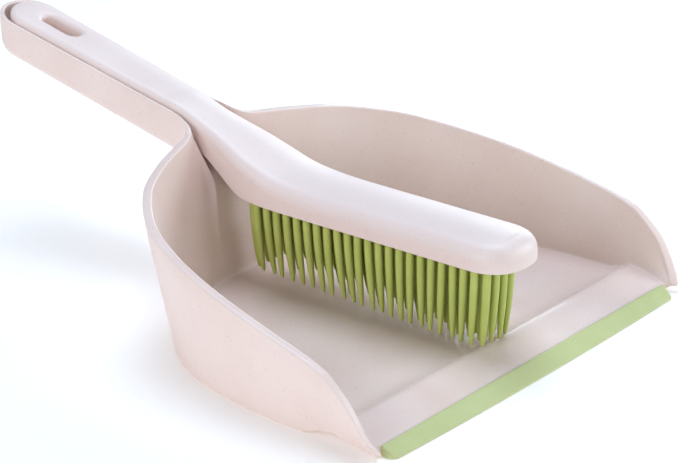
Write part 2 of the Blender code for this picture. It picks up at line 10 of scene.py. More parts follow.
import bmesh
import bpy
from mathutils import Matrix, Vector


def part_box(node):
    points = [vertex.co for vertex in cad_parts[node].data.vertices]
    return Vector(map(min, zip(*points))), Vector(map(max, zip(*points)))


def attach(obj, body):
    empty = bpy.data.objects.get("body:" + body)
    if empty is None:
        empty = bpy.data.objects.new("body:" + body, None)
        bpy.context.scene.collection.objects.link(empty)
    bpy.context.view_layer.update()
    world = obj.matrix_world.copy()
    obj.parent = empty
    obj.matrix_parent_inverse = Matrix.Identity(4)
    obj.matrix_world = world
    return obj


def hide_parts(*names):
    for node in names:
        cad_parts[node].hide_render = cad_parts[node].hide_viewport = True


MM = 0.001
GAP = 0.3               # between pieces that don't touch
SHARP_ANGLE = 42        # degrees between faces from which an edge is shaded sharp
FINGER_SHARP_ANGLE = 70
STRAIGHTEN = 0.1        # share of the straight line in every smooth curve

# Pan
FLOOR_Z = 6.0
FLOOR_T = 2.4
FOOT_RING_W = 4.0
FRONT_BAR_W = 6.0
WALL_T = 2.2
SIDE_WALL_T = 4.0
RIM_W = 4.4
RIM_EDGE = 1.1          # rounding of the rim's two edges
RIM_EDGE_SHARE = 0.42   # the most that rounding may take of the rim's width
RIM_BAND_SHARE = 0.3    # height of the rim's upright band, as a share of the wall's rise
RIM_BAND = (0.6, 2.6)   # the least and the most that height may be
FOOT_FILLET = 1.4
OUTER_FILLET = 3.0
REAR_WALL_X = -167.6    # inner face of the rear wall, at the floor
REAR_DRAFT = 0.2
ROW_STEPS = 6           # sections between two rows
FRONT_NOSE = 0.22       # share of the first row over which the front edge rounds off

# Trough
SLOPE = 0.227
FLOOR_SLOPE = 0.24
TROUGH_X = -199.0
TROUGH_RIM_Z = 79.9
TROUGH_DEPTH = 16.6
TROUGH_W = 14.0
TROUGH_END_W = 15.8
TROUGH_RIM_W = 2.2
TROUGH_DRAFT = 2.6
TROUGH_END_FILLET = 7.0
TROUGH_END_X = -305.0
TROUGH_STEP = 8.0       # between two sections
TURN_STEPS = 16         # of a rounded end's quarter turn

# Lip
LIP_HALF = 107.6
LIP_FRONT = 1.7
LIP_BOW = 1.8
LIP_CORNER = 3.6        # rounding of the strip's front corners, seen from above
LIP_CORNER_PULL = 0.8   # how far the corner falls back, as a share of its rounding
LIP_BACK_X = -5.8
LIP_CREST_X = -4.2
LIP_TOP_Z = 4.8
LIP_TIP_Z = 0.9
LIP_SLOT_X = -3.2       # inner end of the slot that grips the pan's edge
LIP_CLOSED_X = -5.6     # the same at the strip's two ends, where the slot is all but closed
LIP_CLOSED_FROM = 0.6   # share of the corner from which the slot is closed
LIP_SLOT_LOW = 0.9
LIP_SLOT_HIGH = 3.1
LIP_MOUTH_HIGH = 3.9

# Brush
HANDLE_PLAY = 0.5
HANDLE_LIFT = 1.2       # handle over the trough's floor
HEAD_W = 19.2
HEAD_TOP = 62.4
HEAD_BOTTOM = 48.8
SHELL_T = 2.2
NOSE_X = -8.0
BRUSH_END_X = -315.0
CAVITY_END_X = -256.0
CROWN = 1.1             # how much the top bulges
CROWN_REACH = 13.0      # half width over which the bulge rises
CAVITY_DROP = 2.0       # how far the cavity's cutter passes the shell's lower edge
NECK_X = (-215.0, -130.0)
NECK_STEP = 2.5         # between two points of the outline, on the neck
PLAIN_STEP = 6.0        # and elsewhere
NOSE_FORM = (0.9, 0.8)  # powers of the nose's curve, along and across
EDGE_RADII = (3.2, 8.0, -205.0, 60.0)    # on the handle, on the head, where it changes and over how far
BOTTOM_RADII = (3.4, 0.6, -200.0, 40.0)

# Hanging slots
SLOT_X = -286.0
SLOT_LENGTH = 23.0
SLOT_W = 8.4
PAN_SLOT_GROW = 1.0     # the pan's slot is this much wider all round
SLOT_SINK = 0.35        # the flare opens this far under the handle's side profile
SLOT_FLARE = 2.6        # rounding where the brush's slot meets the handle's top

# Fingers
PAD_T = 4.5
PAD_INSET = 0.7         # pad above the shell's lower edge
PAD_REAR = 7.0          # length of the pad's rounded rear end
RING_HALF = 11.6
RING_REAR_X = -158.4
RING_NOSE_X = -22.0
RING_CORNER = 5.0
RING_PITCH = 6.0
FINGER_COUNT = 52
INNER_ROWS = 3
INNER_COUNT = 22
FINGER_SIDES = 16
FINGER_TIP_Z = 9.3
FINGER_TIP_RISE = 4.4
# A finger's radius at shares of its length; TIP_FORM holds shares of the radius at TIP_FROM.
FINGER_FORM = [(0.0, 1.75), (0.25, 1.9), (0.6, 1.75), (0.85, 1.35), (1.0, 0.8)]
ROOT_FORM = [(-0.03, 2.3), (-0.008, 2.2), (0.012, 1.86)]
TIP_FORM = [(0.965, 0.93), (0.982, 0.76), (0.993, 0.5), (0.999, 0.2)]
FORM_FROM = 0.04
FORM_RUN = 0.9
FORM_STEPS = 11
TIP_FROM = 0.94
LEAN_NOSE = 2.4         # how far a tip leans back at the nose
LEAN_REAR = 4.2         # and how far it leans forward on the rear part of the ring
LEAN_END = 0.7          # where the forward lean ends, -1 at the rear and 1 at the nose
SWAY = 0.5
ROW_OFFSET = 17         # sets the inner rows' sway apart from the ring's

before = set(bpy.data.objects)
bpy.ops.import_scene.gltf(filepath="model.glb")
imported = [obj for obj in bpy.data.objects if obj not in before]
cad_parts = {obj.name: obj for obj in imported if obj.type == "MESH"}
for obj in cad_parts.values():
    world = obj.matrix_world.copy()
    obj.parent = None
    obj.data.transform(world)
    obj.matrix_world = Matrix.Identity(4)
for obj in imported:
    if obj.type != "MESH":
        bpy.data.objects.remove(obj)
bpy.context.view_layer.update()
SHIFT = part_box("pan_lip")[1].x / MM - LIP_FRONT - LIP_BOW


# Outlines shared by the pieces

def rim_z(x):
    """Height of the trough's rim."""
    return TROUGH_RIM_Z + SLOPE * (TROUGH_X - x)


def trough_floor(x):
    """Height of the trough's floor."""
    return TROUGH_RIM_Z - TROUGH_DEPTH + FLOOR_SLOPE * (TROUGH_X - x)


def trough_w(x):
    """Half the trough's outer width, which grows towards its end."""
    share = max((TROUGH_X - x) / (TROUGH_X - TROUGH_END_X), 0.0)
    return TROUGH_W + (TROUGH_END_W - TROUGH_W) * share


def handle_w(x):
    """Half the width of the brush's handle, which lies in the trough."""
    return trough_w(x) - TROUGH_RIM_W - HANDLE_PLAY


def rear_x(z):
    """Inner face of the drafted rear wall."""
    return REAR_WALL_X - REAR_DRAFT * (z - FLOOR_Z)


# Each row is one section of the half pan: rim point, foot of the wall, middle of the floor (x, z),
# height of the underside at the foot and in the middle, and how far the underside stands back.
PAN_ROWS = [
    ((0.2, 113.8, 4.2), (-5.0, 110.8, 2.9), (-3.7, 2.7), 1.4, 1.3, 0.0),
    ((-5.0, 118.4, 10.2), (-8.0, 111.6, 4.3), (-8.0, 4.3), 2.6, 2.0, 0.0),
    ((-13.5, 120.0, 23.2), (-15.0, 112.0, 6.0), (-15.0, 6.0), 3.9, 3.7, 0.0),
    ((-26.0, 120.0, 34.0), (-25.0, 111.6, 8.4), (-25.0, 8.4), 5.8, 6.0, 0.0),
    ((-31.0, 119.8, 36.6), (-29.5, 110.0, 7.0), (-29.5, 7.0), 4.4, 4.4, 0.0),
    ((-37.0, 119.6, 38.9), (-35.0, 108.6, FLOOR_Z), (-35.0, FLOOR_Z), 3.2, 3.4, 0.0),
    ((-46.0, 119.3, 41.5), (-44.0, 108.0, FLOOR_Z), (-44.0, FLOOR_Z), 0.0, 0.0, 0.0),
    ((-62.0, 118.2, 45.3), (-60.0, 107.6, FLOOR_Z), (-60.0, FLOOR_Z), 0.0, 0.0, 0.0),
    ((-92.0, 114.2, 51.8), (-88.0, 104.2, FLOOR_Z), (-84.0, FLOOR_Z), 0.0, 0.0, 0.0),
    ((-122.0, 106.2, 57.8), (-115.0, 96.5, FLOOR_Z), (-107.0, FLOOR_Z), 0.0, 0.0, 0.0),
    ((-148.0, 93.4, 63.5), (-137.0, 82.0, FLOOR_Z), (-128.0, FLOOR_Z), 0.0, 0.0, 0.0),
    ((-168.5, 72.5, 68.5), (-154.0, 61.5, FLOOR_Z), (-146.0, FLOOR_Z), 0.0, 0.0, 0.0),
    ((-180.0, 50.0, 71.3), (-163.0, 42.0, FLOOR_Z), (-158.0, FLOOR_Z), 0.0, 0.0, 0.0),
    ((-185.0, 34.0, 73.3), (-166.8, 26.0, FLOOR_Z), (-165.6, FLOOR_Z), 0.0, 0.0, 0.0),
    ((-186.6, 27.5, 74.0), (-167.9, 21.0, 7.4), (-167.9, 7.4), 0.0, 0.0, 1.9),
    ((-187.8, 23.2, 74.7), (rear_x(13), 18.5, 13.0), (rear_x(13), 13.0), 11.5, 11.5, WALL_T),
    ((-189.4, 19.4, 75.8), (rear_x(33), 16.0, 33.0), (rear_x(33), 33.0), 32.5, 32.5, WALL_T),
    ((-192.6, 16.0, 77.6), (rear_x(53), 13.8, 52.5), (rear_x(53), 52.5), 51.3, 51.3, WALL_T),
    ((TROUGH_X, TROUGH_W, TROUGH_RIM_Z), (-186.0, 12.2, 60.4), (-186.0, 60.4), 57.9, 57.9, 0.8),
]
BASE_ROWS = range(6, 14)    # the rows whose wall stands on the flat floor
REAR_ROW = 13               # from here on the rows climb the rear wall to the trough

# Side profiles (x, z) of the brush's top and lower edge, and half its width (x, y), from rear to nose.
BRUSH_TOP = [
    (BRUSH_END_X, rim_z(BRUSH_END_X) + 4.1), (-262.0, rim_z(-262.0) + 4.3),
    (-217.0, rim_z(-217.0) + 4.4), (-204.0, 85.3), (-188.0, 80.1), (-172.0, 75.0), (-156.0, 69.4),
    (-140.0, 64.8), (-124.0, HEAD_TOP + 0.5), (-108.0, HEAD_TOP), (-58.0, HEAD_TOP), (NOSE_X, HEAD_TOP),
]
BRUSH_BOTTOM = [
    (BRUSH_END_X, trough_floor(BRUSH_END_X) + HANDLE_LIFT), (-262.0, trough_floor(-262.0) + HANDLE_LIFT),
    (-206.0, trough_floor(-206.0) + HANDLE_LIFT),
    (-196.0, 64.9), (-184.0, 61.6), (-172.0, 55.9), (-160.0, 50.4), (-148.0, HEAD_BOTTOM + 0.2),
    (-136.0, HEAD_BOTTOM), (-70.0, HEAD_BOTTOM), (NOSE_X, HEAD_BOTTOM),
]
BRUSH_SIDE = [
    (-303.0, handle_w(-303.0)), (-240.0, handle_w(-240.0)), (-200.0, handle_w(-200.0)), (-188.0, 12.2),
    (-176.0, 14.3), (-164.0, 17.0), (-152.0, 18.6), (-138.0, HEAD_W), (-80.0, HEAD_W), (-27.0, HEAD_W),
]


def curve_point(points, t):
    """A Catmull-Rom curve through the points; t runs from 0 to len(points) - 1."""
    i = min(int(t), len(points) - 2)
    u = t - i
    p1, p2 = Vector(points[i]), Vector(points[i + 1])
    p0 = Vector(points[i - 1]) if i > 0 else p1 * 2 - p2
    p3 = Vector(points[i + 2]) if i + 2 < len(points) else p2 * 2 - p1
    straight = p1 + (p2 - p1) * u
    a = (p2 - p0) * 0.5
    b = (p3 - p1) * 0.5
    bent = ((2 * p1 - 2 * p2 + a + b) * u + (3 * p2 - 3 * p1 - 2 * a - b)) * u * u + a * u + p1
    return straight * STRAIGHTEN + bent * (1 - STRAIGHTEN)


def height_at(profile, x):
    """Reads a profile's second value at x along a smooth curve through its points."""
    i = 0
    while i < len(profile) - 2 and x > profile[i + 1][0]:
        i += 1
    t = i + (x - profile[i][0]) / (profile[i + 1][0] - profile[i][0])
    return curve_point([(a, b, 0.0) for a, b in profile], t).y


def spread(start, end, count):
    """Points along a straight line, without its last point."""
    return [start.lerp(end, i / count) for i in range(count)]


def arc(corner, side, other, reach, steps):
    """Points of a fillet between a corner's two sides, from the first side to the other."""
    start = corner + (side - corner).normalized() * reach
    end = corner + (other - corner).normalized() * reach
    made = []
    for i in range(steps + 1):
        u = i / steps
        made.append(start * (1 - u) ** 2 + corner * 2 * u * (1 - u) + end * u * u)
    return made


# Mesh helpers

def loft(bm, rings, capped=True):
    """Skins a stack of closed rings, and closes its two ends unless told not to."""
    rows = [[bm.verts.new(p) for p in ring] for ring in rings]
    for one, two in zip(rows, rows[1:]):
        for j in range(len(one)):
            k = (j + 1) % len(one)
            bm.faces.new((one[j], one[k], two[k], two[j]))
    if capped:
        bm.faces.new(rows[0][::-1])
        bm.faces.new(rows[-1])
    return rows


def join_lines(bm, one, two):
    """Skins the strip between two lines of vertices, which may meet at their ends."""
    for i in range(len(one) - 1):
        corners = []
        for v in (one[i], one[i + 1], two[i + 1], two[i]):
            if v not in corners:
                corners.append(v)
        if len(corners) > 2:
            bm.faces.new(corners)


def piece(name, bm, material=None, sharp=SHARP_ANGLE):
    """Turns a bmesh in millimetres into an object in the frame."""
    bmesh.ops.remove_doubles(bm, verts=bm.verts, dist=0.002)
    bmesh.ops.recalc_face_normals(bm, faces=bm.faces)
    if bm.calc_volume(signed=True) < 0:
        bmesh.ops.reverse_faces(bm, faces=bm.faces)
    for v in bm.verts:
        v.co = (v.co + Vector((SHIFT, 0.0, 0.0))) * MM
    mesh = bpy.data.meshes.new(name)
    bm.to_mesh(mesh)
    bm.free()
    mesh.shade_smooth()
    mesh.set_sharp_from_angle(angle=math.radians(sharp))
    made = bpy.data.objects.new(name, mesh)
    bpy.context.scene.collection.objects.link(made)
    if material:
        mesh.materials.append(material)
    return made


def carve(target, cutters):
    """Takes the cutters' volumes out of the target for good."""
    for cutter in cutters:
        modifier = target.modifiers.new("carve", "BOOLEAN")
        modifier.operation = "DIFFERENCE"
        modifier.solver = "EXACT"
        modifier.object = cutter
    graph = bpy.context.evaluated_depsgraph_get()
    carved = bpy.data.meshes.new_from_object(target.evaluated_get(graph))
    target.modifiers.clear()
    target.data = carved
    carved.shade_smooth()
    carved.set_sharp_from_angle(angle=math.radians(SHARP_ANGLE))
    for cutter in cutters:
        bpy.data.objects.remove(cutter)


# Pan

def towards_middle(rim, foot):
    """Level direction from the rim to the foot of the wall."""
    inward = Vector((foot.x - rim.x, foot.y - rim.y, 0.0))
    return inward.normalized() if inward.length > 0.01 else Vector((0.0, -1.0, 0.0))


def pan_half_section(section):
    """A half section's outer points from the middle to the rim's middle, and its inner points likewise."""
    rim, foot, middle = section["rim"], section["foot"], section["middle"]
    inward = towards_middle(rim, foot)
    rise = max(rim.z - foot.z, 0.0)
    down = Vector((0.0, 0.0, -1.0))
    rim_in = rim + inward * section["rim_w"]
    rim_middle = rim.lerp(rim_in, 0.5)
    edge = min(RIM_EDGE, section["rim_w"] * RIM_EDGE_SHARE)
    drop = min(max(rise * RIM_BAND_SHARE, RIM_BAND[0]), RIM_BAND[1])
    foot_out = foot - inward * section["wall_t"]
    foot_out.x = min(foot_out.x, foot.x - section["back"])
    foot_out.z = section["under_foot"]
    low_rim = rim + down * drop
    low_rim_in = rim_in + down * drop
    middle_out = Vector((middle.x - section["back"], 0.0, section["under_middle"]))
    reach_in = min(section["fillet"], 0.45 * rise + 0.4)
    reach_out = min(section["fillet_out"], 0.45 * rise + 0.8)

    outer_turn = arc(foot_out, middle_out, low_rim, reach_out, 7)
    outer = spread(middle_out, outer_turn[0], 6) + outer_turn
    outer += spread(outer_turn[-1], low_rim, 7)[1:]
    outer += arc(rim, low_rim, rim_middle, edge, 5)
    inner_turn = arc(foot, middle, rim_in, reach_in, 7)
    inner = spread(middle, inner_turn[0], 6) + inner_turn
    inner += spread(inner_turn[-1], low_rim_in, 7)[1:]
    inner += arc(rim_in, low_rim_in, rim_middle, edge, 5)
    return outer, inner


def tray_section(t):
    """The section at t, counted in rows from the lip."""
    low = min(int(t), len(PAN_ROWS) - 2)
    share = t - low
    one, two = PAN_ROWS[low], PAN_ROWS[low + 1]
    under_foot, under_middle, back = (one[c] + (two[c] - one[c]) * share for c in (3, 4, 5))
    behind = max(t - REAR_ROW, 0.0) / (len(PAN_ROWS) - 1 - REAR_ROW)
    return {
        "rim": curve_point([row[0] for row in PAN_ROWS], t),
        "foot": curve_point([row[1] for row in PAN_ROWS], t),
        "middle": curve_point([(row[2][0], 0.0, row[2][1]) for row in PAN_ROWS], t),
        "under_foot": under_foot,
        "under_middle": under_middle,
        "back": back,
        "rim_w": RIM_W + (TROUGH_RIM_W - RIM_W) * behind,
        "wall_t": WALL_T + (SIDE_WALL_T - WALL_T) * min(t / 6, 1.0) * (1 - behind),
        "fillet": FOOT_FILLET,
        "fillet_out": OUTER_FILLET,
    }


def trough_section(x, angle=0.0):
    """A section of the trough; the angle turns it round the rounded end."""
    back, side = math.sin(angle), math.cos(angle)
    width = trough_w(x)
    foot_w = width - TROUGH_DRAFT
    rim_x, foot_x = x - width * back, x - foot_w * back
    extra = (TROUGH_END_FILLET - FOOT_FILLET) * back ** 2
    return {
        "rim": Vector((rim_x, width * side, rim_z(rim_x))),
        "foot": Vector((foot_x, foot_w * side, trough_floor(foot_x))),
        "middle": Vector((x, 0.0, trough_floor(x))),
        "under_foot": trough_floor(foot_x) - FLOOR_T,
        "under_middle": trough_floor(x) - FLOOR_T,
        "back": 0.0,
        "rim_w": TROUGH_RIM_W,
        "wall_t": WALL_T,
        "fillet": FOOT_FILLET + extra,
        "fillet_out": FOOT_FILLET + WALL_T + extra,
    }


def pan_rings():
    """Closed rings of points, from the lip to the end of the trough."""
    last = len(PAN_ROWS) - 1
    stations = [FRONT_NOSE * share for share in (0.0, 0.08, 0.25, 0.5, 0.75)]
    stations += [FRONT_NOSE + (1 - FRONT_NOSE) * i / 4 for i in range(4)]
    stations += [1 + i / ROW_STEPS for i in range(ROW_STEPS * (last - 1) + 1)]
    halves = []
    for t in stations:
        # the front edge thins out to a rounded nose over the first stations
        outer, inner = pan_half_section(tray_section(t))
        thick = math.sqrt(max(1 - (1 - min(t / FRONT_NOSE, 1.0)) ** 2, 0.02))
        for i, (a, b) in enumerate(zip(outer, inner)):
            centre = a.lerp(b, 0.5)
            outer[i] = centre + (a - centre) * thick
            inner[i] = centre + (b - centre) * thick
        halves.append((outer, inner))
    x = TROUGH_X - 5.0
    while x > TROUGH_END_X + 3.0:
        halves.append(pan_half_section(trough_section(x)))
        x -= TROUGH_STEP
    for i in range(TURN_STEPS + 1):
        angle = math.pi / 2 * i / TURN_STEPS
        halves.append(pan_half_section(trough_section(TROUGH_END_X, angle)))
    rings = []
    for outer, inner in halves:
        half = outer + inner[::-1]
        mirrored = [Vector((p.x, -p.y, p.z)) for p in half[1:-1]]
        rings.append(half + mirrored[::-1])
    return rings


def recess_cutter():
    """The hollow under the floor, inside the foot ring, with a rounded upper edge."""
    right = []
    for i in range(4 * (len(BASE_ROWS) - 1) + 1):
        section = tray_section(BASE_ROWS[0] + i / 4)
        inward = towards_middle(section["rim"], section["foot"])
        right.append(section["foot"] + inward * (OUTER_FILLET - SIDE_WALL_T + FOOT_RING_W))
    right[0].x -= FRONT_BAR_W
    right = [right[0]] + [p for p in right[1:] if p.x < right[0].x - 1.0]
    rings = []
    for height, pull in ((-5.0, 0.0), (2.4, 0.0), (3.1, 0.25), (FLOOR_Z - FLOOR_T, 1.0)):
        side = [(p.x - pull if i == 0 else p.x, p.y - pull) for i, p in enumerate(right)]
        outline = side + [(x, -y) for x, y in reversed(side)]
        rings.append([Vector((x, y, height)) for x, y in outline])
    bm = bmesh.new()
    loft(bm, rings)
    return piece("recess", bm)


def slot_cutter(name, levels):
    """A round-ended peg square to the handle; levels give its growth at heights over the rim."""
    tilt = math.atan(SLOPE)
    along = Vector((-math.cos(tilt), 0.0, math.sin(tilt)))
    up = Vector((math.sin(tilt), 0.0, math.cos(tilt)))
    centre = Vector((SLOT_X, 0.0, rim_z(SLOT_X)))
    run = (SLOT_LENGTH - SLOT_W) / 2
    rings = []
    for height, grow in levels:
        radius = SLOT_W / 2 + grow
        ring = []
        for end in (1, -1):
            for i in range(TURN_STEPS + 1):
                angle = -math.pi / 2 + math.pi * i / TURN_STEPS
                a = end * (run + radius * math.cos(angle))
                b = end * radius * math.sin(angle)
                ring.append(centre + along * a + Vector((0.0, b, 0.0)) + up * height)
        rings.append(ring)
    bm = bmesh.new()
    loft(bm, rings)
    return piece(name, bm)


def build_pan(material):
    """The pan's moulding: its sections skinned, its front edge closed, slot and recess cut out."""
    bm = bmesh.new()
    first = loft(bm, pan_rings(), capped=False)[0]
    half = len(pan_half_section(tray_section(0.0))[0])
    right = (first[:half], first[half:2 * half][::-1])
    count = len(first)
    left_outer = [first[0]] + [first[count - 1 - i] for i in range(half - 1)]
    left_inner = [first[2 * half - 1]] + [first[2 * half + i] for i in range(half - 1)]
    for outer, inner in (right, (left_outer, left_inner)):
        join_lines(bm, outer, inner)
    pan = piece("pan_moulding", bm, material)
    peg = slot_cutter("pan_peg", [(-30.0, PAN_SLOT_GROW), (15.0, PAN_SLOT_GROW)])
    carve(pan, [peg, recess_cutter()])
    return pan


# Lip

def lip_profile(front, slot_x):
    """Closed side profile of the strip: a flat top over the pan's edge, then a thin sloping blade."""
    top_back = Vector((LIP_BACK_X, LIP_TOP_Z, 0.0))
    mouth = Vector((LIP_BACK_X, LIP_MOUTH_HIGH, 0.0))
    crest = Vector((LIP_CREST_X, LIP_TOP_Z, 0.0))
    tip = Vector((front, LIP_TIP_Z, 0.0))
    toe = Vector((front, 0.0, 0.0))
    heel = Vector((LIP_BACK_X, 0.0, 0.0))
    points = arc(top_back, mouth, crest, 0.5, 3)
    points += arc(crest, top_back, tip, 0.7, 4)
    points += spread(points[-1], tip, 6)[1:]
    points += arc(tip, crest, toe, 0.45, 4)
    points += arc(toe, tip, heel, 0.35, 4)
    points += [heel, Vector((LIP_BACK_X, LIP_SLOT_LOW, 0.0))]
    points += [Vector((slot_x, z, 0.0)) for z in (LIP_SLOT_LOW, LIP_SLOT_HIGH)]
    points.append(mouth)
    return [(p.x, p.y) for p in points]


def build_lip(material):
    """The soft strip over the pan's front edge, bowed forward, with rounded corners and closed ends."""
    bm = bmesh.new()
    stations = []
    for i in range(10):
        angle = math.pi / 2 * i / 9
        stations.append(LIP_HALF - LIP_CORNER * (1 - math.sin(angle)))
    stations = stations[::-1]
    stations += [(LIP_HALF - LIP_CORNER) * (1 - (i + 1) / 12) for i in range(12)]
    stations += [-y for y in stations[-2::-1]]
    rings = []
    for y in stations:
        in_corner = max(abs(y) - (LIP_HALF - LIP_CORNER), 0.0) / LIP_CORNER
        pull = LIP_CORNER * LIP_CORNER_PULL * (1 - math.sqrt(max(1 - in_corner ** 2, 0.0)))
        front = LIP_FRONT + LIP_BOW * (1 - (y / LIP_HALF) ** 2) - pull
        slot_x = LIP_CLOSED_X if in_corner > LIP_CLOSED_FROM else LIP_SLOT_X
        rings.append([Vector((x, y, z)) for x, z in lip_profile(front, slot_x)])
    loft(bm, rings)
    return piece("lip_strip", bm, material)


# Brush

def brush_outline(inset, end_x=BRUSH_END_X):
    """Half the brush's outline from its rear tip round to its nose, moved in by the inset."""
    end_w = handle_w(end_x)
    rear_centre = end_x + end_w
    rear_w = height_at(BRUSH_SIDE, max(rear_centre, BRUSH_SIDE[0][0])) - inset
    made = []
    for i in range(TURN_STEPS):
        angle = math.pi / 2 * i / TURN_STEPS
        made.append((rear_centre - (end_w - inset) * math.cos(angle), rear_w * math.sin(angle)))
    nose_centre = NOSE_X - HEAD_W
    x = rear_centre
    while x < nose_centre - 2.0:
        made.append((x, height_at(BRUSH_SIDE, x) - inset))
        x += NECK_STEP if NECK_X[0] < x < NECK_X[1] else PLAIN_STEP
    for i in range(19):
        angle = math.pi / 2 * i / 18
        along = (HEAD_W - inset) * math.sin(angle) ** NOSE_FORM[0]
        across = (HEAD_W - inset) * max(math.cos(angle), 0.0) ** NOSE_FORM[1]
        made.append((nose_centre + along, across))
    made[-1] = (made[-1][0], 0.0)
    return made


def radius_at(radii, x):
    """Radius of one of the brush's edges, which changes evenly from the handle's to the head's."""
    handle, head, from_x, run = radii
    return handle + (head - handle) * min(max((x - from_x) / run, 0.0), 1.0)


def pulled_in(outline, j, pull):
    """Point j of a half outline, moved inwards in plan."""
    x, y = outline[j]
    if j == 0:
        return x + pull, 0.0
    if j == len(outline) - 1:
        return x - pull, 0.0
    before, after = outline[j - 1], outline[j + 1]
    normal = Vector((after[1] - before[1], before[0] - after[0])).normalized()
    return x + normal.x * pull, max(y + normal.y * pull, 0.0)


def brush_levels(inset, end_x=BRUSH_END_X, bottom_drop=0.0, top_drop=0.0):
    """Outlines of the shell from its lower edge up over its rounded shoulder."""
    outline = brush_outline(inset, end_x)
    levels = []
    for i in range(6):
        turn = math.pi / 2 * i / 5
        level = []
        for j, (x, _) in enumerate(outline):
            radius = radius_at(BOTTOM_RADII, x)
            px, py = pulled_in(outline, j, radius * (1 - math.sin(turn)))
            lift = radius * (1 - math.cos(turn))
            level.append(Vector((px, py, height_at(BRUSH_BOTTOM, px) - bottom_drop + lift)))
        levels.append(level)
    for i in range(11):
        turn = math.pi / 2 * i / 10
        level = []
        for j, (x, _) in enumerate(outline):
            radius = max(radius_at(EDGE_RADII, x) - top_drop, 1.0)
            px, py = pulled_in(outline, j, radius * (1 - math.cos(turn)))
            drop = radius * (1 - math.sin(turn)) + top_drop
            level.append(Vector((px, py, height_at(BRUSH_TOP, px) - CROWN - drop)))
        levels.append(level)
    return levels


def pillow(bm, levels, cap_rows=(0.9, 0.75, 0.55, 0.3, 0.0), crown=0.0):
    """Skins a stack of half outlines, mirrored, and closes the first and the last across Y.

    The last one bulges by the crown.
    """
    rings = []
    for level in levels:
        rings.append(level + [Vector((p.x, -p.y, p.z)) for p in level[-2:0:-1]])
    rows = loft(bm, rings, capped=False)
    count = len(levels[0])
    for ring, level in ((rows[0], levels[0]), (rows[-1], levels[-1])):
        raise_by = crown if level is levels[-1] else 0.0
        wide = [min(abs(p.y) / CROWN_REACH, 1.0) for p in level]
        fade = [share * share * (3 - 2 * share) for share in wide]
        lines = [ring[:count]]
        for share in list(cap_rows) + [-share for share in cap_rows[-2::-1]]:
            line = [ring[0]]
            for p, full in zip(level[1:-1], fade[1:-1]):
                lift = raise_by * (1 - share * share) * full
                line.append(bm.verts.new((p.x, p.y * share, p.z + lift)))
            lines.append(line + [ring[count - 1]])
        lines.append([ring[0]] + ring[:count - 1:-1] + [ring[count - 1]])
        for one, two in zip(lines, lines[1:]):
            join_lines(bm, one, two)


def build_shell(material):
    """The brush's moulding: hollow under the head, with a flared hanging slot in the handle."""
    bm = bmesh.new()
    pillow(bm, brush_levels(0.0), crown=CROWN)
    shell = piece("brush_moulding", bm, material)
    bm = bmesh.new()
    pillow(bm, brush_levels(SHELL_T, CAVITY_END_X, CAVITY_DROP, SHELL_T))
    cavity = piece("cavity", bm)
    surface = height_at(BRUSH_TOP, SLOT_X) - rim_z(SLOT_X) - SLOT_SINK
    levels = [(-30.0, 0.0)]
    for i in range(9):
        turn = math.pi / 2 * i / 9
        levels.append((surface - SLOT_FLARE * (1 - math.sin(turn)), SLOT_FLARE * (1 - math.cos(turn))))
    levels += [(surface + 0.25, SLOT_FLARE * 1.25), (surface + 3.0, SLOT_FLARE * 3.0)]
    carve(shell, [cavity, slot_cutter("brush_peg", levels)])
    return shell


def build_pad(material):
    """The pad that fills the head's mouth and carries the fingers."""
    inset = SHELL_T + GAP
    front = [(x, y) for x, y in brush_outline(inset) if x >= RING_REAR_X]
    rear_x_at, rear_w = front[0]
    outline = []
    for i in range(10):
        angle = math.pi / 2 * i / 10
        outline.append((rear_x_at - PAD_REAR * math.cos(angle), rear_w * math.sin(angle)))
    outline += front
    levels = []
    for height, pull in ((0.0, 0.6), (0.25, 0.15), (0.8, 0.0), (PAD_T, 0.0)):
        z = HEAD_BOTTOM + PAD_INSET + height
        levels.append([Vector((*pulled_in(outline, j, pull), z)) for j in range(len(outline))])
    bm = bmesh.new()
    pillow(bm, levels)
    return piece("finger_pad", bm, material)


# Fingers

def ring_point(distance):
    """Point on the ring of fingers, a long loop with rounded corners, from its near rear corner on."""
    length = RING_NOSE_X - RING_REAR_X - 2 * RING_CORNER
    width = 2 * (RING_HALF - RING_CORNER)
    bend = math.pi / 2 * RING_CORNER
    point = Vector((RING_REAR_X + RING_CORNER, -RING_HALF))
    angle = 0.0
    for side in (length, width, length, width):
        along = Vector((math.cos(angle), math.sin(angle)))
        inward = Vector((-along.y, along.x))
        if distance < side:
            return point + along * distance
        point += along * side
        distance -= side
        if distance < bend:
            turn = distance / RING_CORNER
            return point + (along * math.sin(turn) + inward * (1 - math.cos(turn))) * RING_CORNER
        point += (along + inward) * RING_CORNER
        distance -= bend
        angle += math.pi / 2
    return point


def ring_length():
    """Length of the loop that ring_point follows."""
    corners = 2 * math.pi * RING_CORNER
    return 2 * (RING_NOSE_X - RING_REAR_X + 2 * RING_HALF - 4 * RING_CORNER) + corners


def inner_row(number):
    """Roots of one of the rows inside the ring."""
    first, last = RING_REAR_X + RING_PITCH, RING_NOSE_X - RING_PITCH
    y = (number - (INNER_ROWS - 1) / 2) * 2 * RING_HALF / (INNER_ROWS + 1)
    return [Vector((first + (last - first) * i / (INNER_COUNT - 1), y)) for i in range(INNER_COUNT)]


